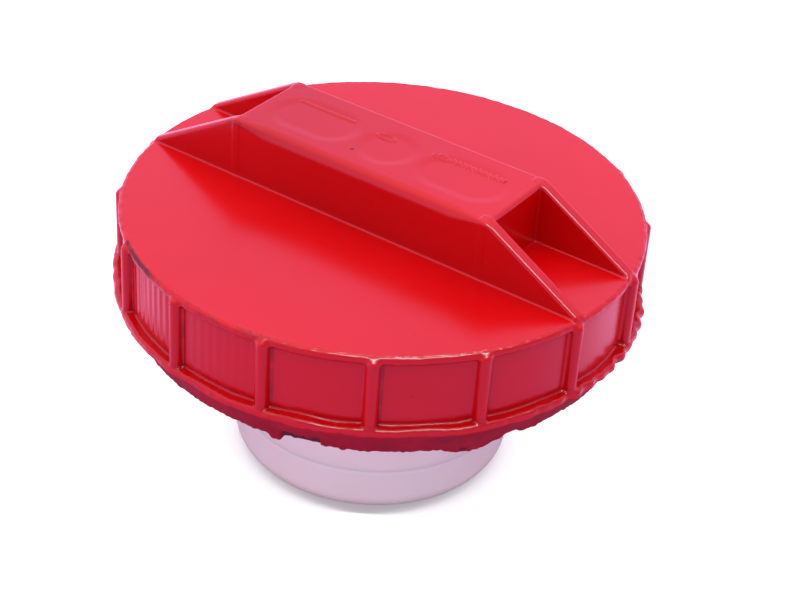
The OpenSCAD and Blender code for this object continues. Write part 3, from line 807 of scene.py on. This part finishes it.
def make_retainer_ring(material):
    """Tapered band with a ragged foot and a pry notch, snapped in under the shell's bead."""
    low_r, in_r, lip_r = 37.9, 35.6, 30.2
    lip_z, sleeve_r, sleeve_in_r = flange_z - 0.3, skirt_in_r - 0.05, flange_r + 1.2
    corners = [
        (lip_r, lip_z, 0.3),
        (lip_r, lip_z - 1.6, 0.3),
        (in_r, lip_z - 2.0, 0.5),
        (in_r, band_z, 0.3),
        (low_r, band_z, 0.55),
        (cap_r - 0.1, skirt_z - 0.35, 0.1),
        (cap_r - 0.1, skirt_z, 0.05),
        (sleeve_r, skirt_z, 0),
        (sleeve_r, ring_high[2], 0.3),
        (sleeve_in_r, ring_high[2], 0.3),
        (sleeve_in_r, lip_z, 0.3),
    ]
    path = fill_path(rounded_path(corners), 0.5)
    # Each sag of the foot: direction and half-width in degrees, then drop in mm.
    sags = [(283.4, 1.5, 0.9), (298.3, 0.7, 0.4), (325.5, 5.5, 1.0), (336, 2.2, -0.7), (348, 4, -0.15)]
    notch_sides = [notch_low - 0.02, notch_low + 0.25, notch_high - 0.25, notch_high + 0.02]
    angles = np.sort(np.concatenate([even_angles(1080 if FINE else 540), notch_sides]))

    def warp(angle, r, z):
        """Wavy outside, ragged foot, snap bead and notch."""
        band = smooth_step(r, in_r + 0.4, low_r - 0.3) * smooth_step(z, skirt_z - 0.1, skirt_z - 1.0)
        foot = smooth_step(z, band_z + 1.5, band_z) * smooth_step(r, in_r - 0.1, in_r + 0.2)
        tatter = 0.10 * ripple(angle, (31, 47, 71, 113), 11) + 0.09 * ripple(angle, (151, 197, 241), 12)
        for middle, reach, drop in sags:
            tatter = tatter - drop * np.exp(-(((angle - middle) / reach) ** 4))
        r = r + band * (0.07 * ripple(angle, (13, 27, 44, 83), 13) - 0.05)
        on_sleeve = (r > sleeve_r - 0.02) * (z > skirt_z + 0.1)
        snap = np.sqrt(np.maximum(0.45**2 - (z - skirt_z - 1.3) ** 2, 0)) * on_sleeve
        in_notch = (angle > notch_low) & (angle < notch_high)
        top = band_z + 1.6 + 0.15 * ripple(angle, (61, 97), 14)
        pushed = np.where(z < top, np.minimum(r, low_r - 0.8), r)
        cut_back = in_notch & (r > in_r + 0.3) & (z < skirt_z - 0.5)
        return np.where(cut_back, pushed, r + snap), z + foot * tatter

    piece = revolve("retainer_band", path, angles, warp)
    return hand_over(piece, "retainer_ring", "knob", material)


def make_closure(material):
    """The plug's white body, as one closed mesh."""
    step = 0.3 if FINE else 0.5
    piece = carve("threaded_plug", threaded_closure_field, closure_low, closure_high, step, 190000)
    return hand_over(piece, "threaded_closure", "closure", material)


def make_bottom_cover(material):
    """The cup under the plug, as one closed mesh."""
    step = 0.25 if FINE else 0.42
    piece = carve("plug_cup", bottom_cover_field, cover_low, cover_high, step, 120000)
    return hand_over(piece, "bottom_cover", "closure", material)


def make_gasket(material):
    """The seal on the neck's rim."""
    low_z, high_z = gasket_low[2], gasket_high[2]
    in_r, out_r = thread_root_r + 0.1, gasket_high[0]
    corners = [(in_r, low_z, 0.3), (out_r, low_z, 0.6), (out_r, high_z, 0.15), (in_r, high_z, 0.15)]
    piece = revolve("rim_gasket", fill_path(rounded_path(corners), 0.6), even_angles(360))
    return hand_over(piece, "neck_gasket", "closure", material)


def make_springs(material):
    """Two compression springs, the small one riding on the pressure valve."""
    plate_top, clip_foot, lift, drop = 21.6, 25.8, 1.5, 1.2
    big = coil("lift_spring", 8.6, 0.9, 4.5, plate_top, flange_z)
    hand_over(big, "pressure_spring", "closure", material)
    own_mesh(big)
    small = coil("drop_spring", 2.2, 0.45, 5.5, plate_top, clip_foot)
    hand_over(small, "vacuum_spring", "pressure_valve", material)
    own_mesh(small)


def dress_cad_nodes(looks):
    """Materials and softened edges on the CAD nodes that stay in view."""
    for name, (material, edge) in looks.items():
        piece = nodes[name]
        paint(piece, material)
        if edge:
            bevel = piece.modifiers.new("soft_edges", "BEVEL")
            bevel.width, bevel.segments, bevel.limit_method = edge * MM, 2, "ANGLE"
            bevel.angle_limit, bevel.harden_normals = math.radians(35), True


# --- Stage -------------------------------------------------------------------


def make_camera():
    """The photograph's viewpoint: in front, above, and a little rolled. Distances are in mm."""
    azimuth, elevation, roll = math.radians(33.094), math.radians(34.02), math.radians(4.046)
    distance, aside, above = 291.53, 2.394, -14.497
    flat = math.cos(elevation)
    back = Vector((math.sin(azimuth) * flat, -math.cos(azimuth) * flat, math.sin(elevation)))
    level = Vector((math.cos(azimuth), math.sin(azimuth), 0))
    upright = back.cross(level)
    right = level * math.cos(roll) + upright * math.sin(roll)
    up = upright * math.cos(roll) - level * math.sin(roll)
    place = Vector((0, 0, disc_z)) + back * distance + right * aside + up * above
    lens = bpy.data.cameras.new("camera")
    lens.lens, lens.sensor_width = 86.66, 36.0
    lens.clip_start, lens.clip_end = 0.01, 20.0
    camera = bpy.data.objects.new("camera", lens)
    turned = Matrix((right, up, back)).transposed().to_4x4()
    camera.matrix_world = Matrix.Translation(place * MM) @ turned
    bpy.context.scene.collection.objects.link(camera)
    bpy.context.scene.camera = camera


# Level directions as the camera sees them: away from it, and to its left.
BACK = Vector((-0.546, 0.838, 0))
LEFT = Vector((-0.838, -0.546, 0))


def plane(name, half, z):
    """A level square that isn't part of the object, in metres."""
    mesh = bpy.data.meshes.new(name)
    corners = [(-half, -half, z), (half, -half, z), (half, half, z), (-half, half, z)]
    mesh.from_pydata(corners, [], [(0, 1, 2, 3)])
    made = bpy.data.objects.new(name, mesh)
    bpy.context.scene.collection.objects.link(made)
    return made


def make_floor():
    """A pale table, and just under it a glowing sheet that the cap reflects, with painted shade: it glows
    dimmer in front and close under the cap.

    The camera sees the table alone, and every other ray sees the sheet alone.
    """
    table = plane("table", 2.5, 0)
    table.visible_diffuse = table.visible_glossy = table.visible_transmission = False
    table.visible_shadow = False
    s = Surface("table_white", Roughness=1.0, Emission_Strength=0.30)
    s.shader.inputs["Base Color"].default_value = rgb(0.40, 0.40, 0.40)
    s.shader.inputs["Emission Color"].default_value = rgb(1, 1, 1)
    s.shader.inputs["Specular IOR Level"].default_value = 0.0
    paint(table, s.material)

    sheet = plane("reflected_table", 2.5, -0.001)
    sheet.visible_camera = False
    s = Surface("table_reflected", Roughness=1.0, Emission_Strength=1.0)
    s.shader.inputs["Base Color"].default_value = rgb(0.05, 0.05, 0.05)
    s.shader.inputs["Specular IOR Level"].default_value = 0.0
    behind = s.math("ADD", s.math("MULTIPLY", s.x, BACK.x), s.math("MULTIPLY", s.y, BACK.y))
    # Painted shade on the glowing sheet: dimmer in front of the cap than behind it.
    glow = s.mix(s.ramp(behind, -45, 10), rgb(1.00, 0.38, 0.92), rgb(1.50, 0.78, 1.42))
    # Painted shade: the sheet's glow fades close under the cap.
    s.set("Emission Color", s.mix(s.ramp(s.radius(), 40, 85), rgb(0.16, 0.05, 0.10), glow))
    paint(sheet, s.material)
    return table


def make_world():
    """A studio that is brightest overhead, violet behind the cap, and dim in front."""
    world = bpy.data.worlds.new("studio")
    bpy.context.scene.world = world
    world.use_nodes = True
    tree = world.node_tree
    sky = tree.nodes["Background"]
    direction = node_in(tree, "ShaderNodeTexCoord").outputs["Generated"]

    def along(axis):
        inputs = {0: direction, 1: axis}
        return node_in(tree, "ShaderNodeVectorMath", inputs, operation="DOT_PRODUCT").outputs["Value"]

    def blend(value, low, high, a, b):
        inputs = {"Value": value, "From Min": low, "From Max": high}
        share = node_in(tree, "ShaderNodeMapRange", inputs).outputs[0]
        return node_in(tree, "ShaderNodeMix", {0: share, 6: a, 7: b}, data_type="RGBA").outputs[2]

    colour = blend(along(BACK), -0.4, 0.6, rgb(0.26, 0.30, 0.60), rgb(1.20, 0.72, 1.22))
    colour = blend(along(LEFT), 0.2, 0.9, colour, rgb(1.10, 0.80, 1.25))
    colour = blend(along((0, 0, 1)), 0.62, 0.95, colour, rgb(2.28, 1.15, 1.35))
    tree.links.new(colour, sky.inputs["Color"])


def add_softbox(name, place, sides, power, colour=(1, 1, 1), aim=(0, 0, 0.03)):
    """A rectangular area light that faces the cap."""
    light = bpy.data.lights.new(name, "AREA")
    light.shape, light.size, light.size_y = "RECTANGLE", *sides
    light.energy, light.color = power, colour
    lamp = bpy.data.objects.new(name, light)
    lamp.location = place
    facing = Vector(aim) - Vector(place)
    lamp.rotation_euler = facing.to_track_quat("-Z", "Y").to_euler()
    bpy.context.scene.collection.objects.link(lamp)
    return lamp


def lying_along(lamp, length):
    """The turn that keeps a light's aim and lays its long side along a level direction."""
    back = lamp.rotation_euler.to_matrix().col[2]
    side = (length - back * length.dot(back)).normalized()
    return Matrix((side, back.cross(side), back)).transposed().to_euler()


def group(name, *members):
    """A collection that a light's linking can name."""
    made = bpy.data.collections.new(name)
    for member in members:
        made.objects.link(member)
    return made


def make_lights(table, shell, ring, closure, cup):
    """A strip for the red pieces' edges, two low fills for the plug and a strip for the table alone."""
    sparkle = add_softbox("edge_sparkle", (0.205, -0.16, 0.60), (0.5, 0.04), 3.6, (0.12, 0.78, 0.85))
    sparkle.rotation_euler = lying_along(sparkle, Vector((0.616, 0.788, 0)))
    sparkle.light_linking.receiver_collection = group("lit_by_sparkle", shell, ring)

    lit_by_fill = group("lit_by_fill", closure, cup)
    for name, side in (("plug_fill_left", 0.40), ("plug_fill_right", -0.40)):
        place = BACK * -0.35 + LEFT * side + Vector((0, 0, 0.03))
        fill = add_softbox(name, place, (0.5, 0.12), 1.30, (1.0, 0.95, 0.96))
        fill.light_linking.receiver_collection = lit_by_fill

    strip = add_softbox("table_light", (0, 0, 0.70), (3.0, 0.10), 29.0, aim=(0, 0, 0))
    strip.rotation_euler = (0, 0, math.atan2(LEFT.y, LEFT.x))
    strip.light_linking.receiver_collection = group("lit_by_table_light", table)
    strip.light_linking.blocker_collection = group("shading_the_table", cup)
    bpy.context.scene.view_settings.view_transform = "Standard"


# --- Build -------------------------------------------------------------------

white = milky_white()
rubber_black = rubber()
wire = steel("drawn_wire", rgb(0.60, 0.61, 0.63), rgb(0.42, 0.43, 0.45), 0.28, (1, 1, 6))
zinc = steel("zinc_plate", rgb(0.72, 0.71, 0.66), rgb(0.52, 0.53, 0.54), 0.34, (1, 1, 1))
polished = steel("polished_steel", rgb(0.78, 0.79, 0.80), rgb(0.70, 0.71, 0.72), 0.14, (1, 1, 1))
acetal = satin_plastic("natural_acetal", rgb(0.70, 0.69, 0.62), rgb(0.80, 0.79, 0.73), 0.36)
black_acetal = satin_plastic("black_acetal", rgb(0.016, 0.016, 0.018), rgb(0.035, 0.035, 0.038), 0.34)

shell, ring = make_outer_shell(glossy_red()), make_retainer_ring(satin_red())
closure, cup = make_closure(white), make_bottom_cover(white)
make_gasket(rubber_black)
make_springs(wire)
dress_cad_nodes(
    {
        "pawl_ring": (acetal, 0.15),
        "wave_washer": (wire, 0),
        "valve_seat_plate": (acetal, 0.15),
        "seat_o_ring": (rubber_black, 0),
        "seat_screws": (zinc, 0.1),
        "ball_cage": (black_acetal, 0.15),
        "vent_filter": (felt(), 0.3),
        "filter_ring": (acetal, 0.12),
        "pressure_valve_plate": (zinc, 0.12),
        "pressure_valve_seal": (rubber_black, 0.1),
        "vacuum_valve_stem": (black_acetal, 0.1),
        "vacuum_valve_seal": (rubber_black, 0.1),
        "vacuum_stem_clip": (wire, 0.06),
        "rollover_ball": (polished, 0),
    }
)

make_camera()
make_world()
make_lights(make_floor(), shell, ring, closure, cup)
